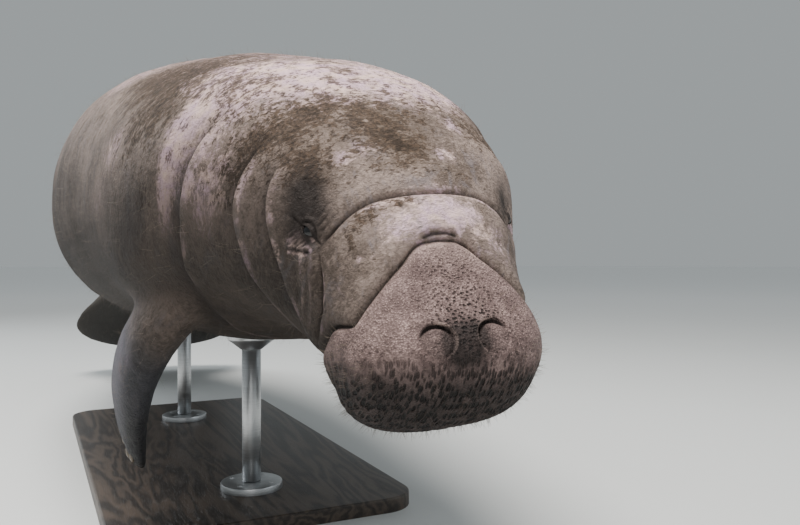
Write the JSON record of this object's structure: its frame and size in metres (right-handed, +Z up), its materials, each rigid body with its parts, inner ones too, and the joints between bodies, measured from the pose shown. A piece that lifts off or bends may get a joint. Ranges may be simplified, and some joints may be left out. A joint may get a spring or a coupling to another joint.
{
  "type": "manatee",
  "caption": "Life-size manatee model that swims with its head bent down, with paddle tail, flippers and wrinkled muzzle, held over a flat base by short rods.",
  "frame": {"origin": "centre of the underside of the stand's base, on the floor", "axes": "+Z up, -Y towards the manatee's snout, +X towards the animal's left side"},
  "size_m": [0.7542, 2.8422, 0.9342],
  "materials": {
    "hide": "thick grey-brown wrinkled skin with fine algae streaks",
    "muzzle": "pebbled pinkish-brown skin, nearly black at the lips",
    "eye": "polished dark glass",
    "nail": "dull horn",
    "base": "satin dark grey paint over board",
    "rod": "turned, brushed steel"
  },
  "bodies": {
    "root": {"muzzle": "muzzle", "lower_jaw": "muzzle", "head": "hide", "neck": "hide", "chest": "hide", "torso": "hide", "tail_stock": "hide", "tail_paddle": "hide", "flipper_right": "hide", "flipper_left": "hide", "eye_right": "eye", "eye_left": "eye", "nail_right_1": "nail", "nail_right_2": "nail", "nail_right_3": "nail", "nail_right_4": "nail", "nail_left_1": "nail", "nail_left_2": "nail", "nail_left_3": "nail", "nail_left_4": "nail", "stand_base": "base", "stand_foot_front": "rod", "stand_foot_rear": "rod", "stand_rod_front": "rod", "stand_rod_rear": "rod", "stand_saddle_front": "rod", "stand_saddle_rear": "rod"}
  },
  "joints": []
}
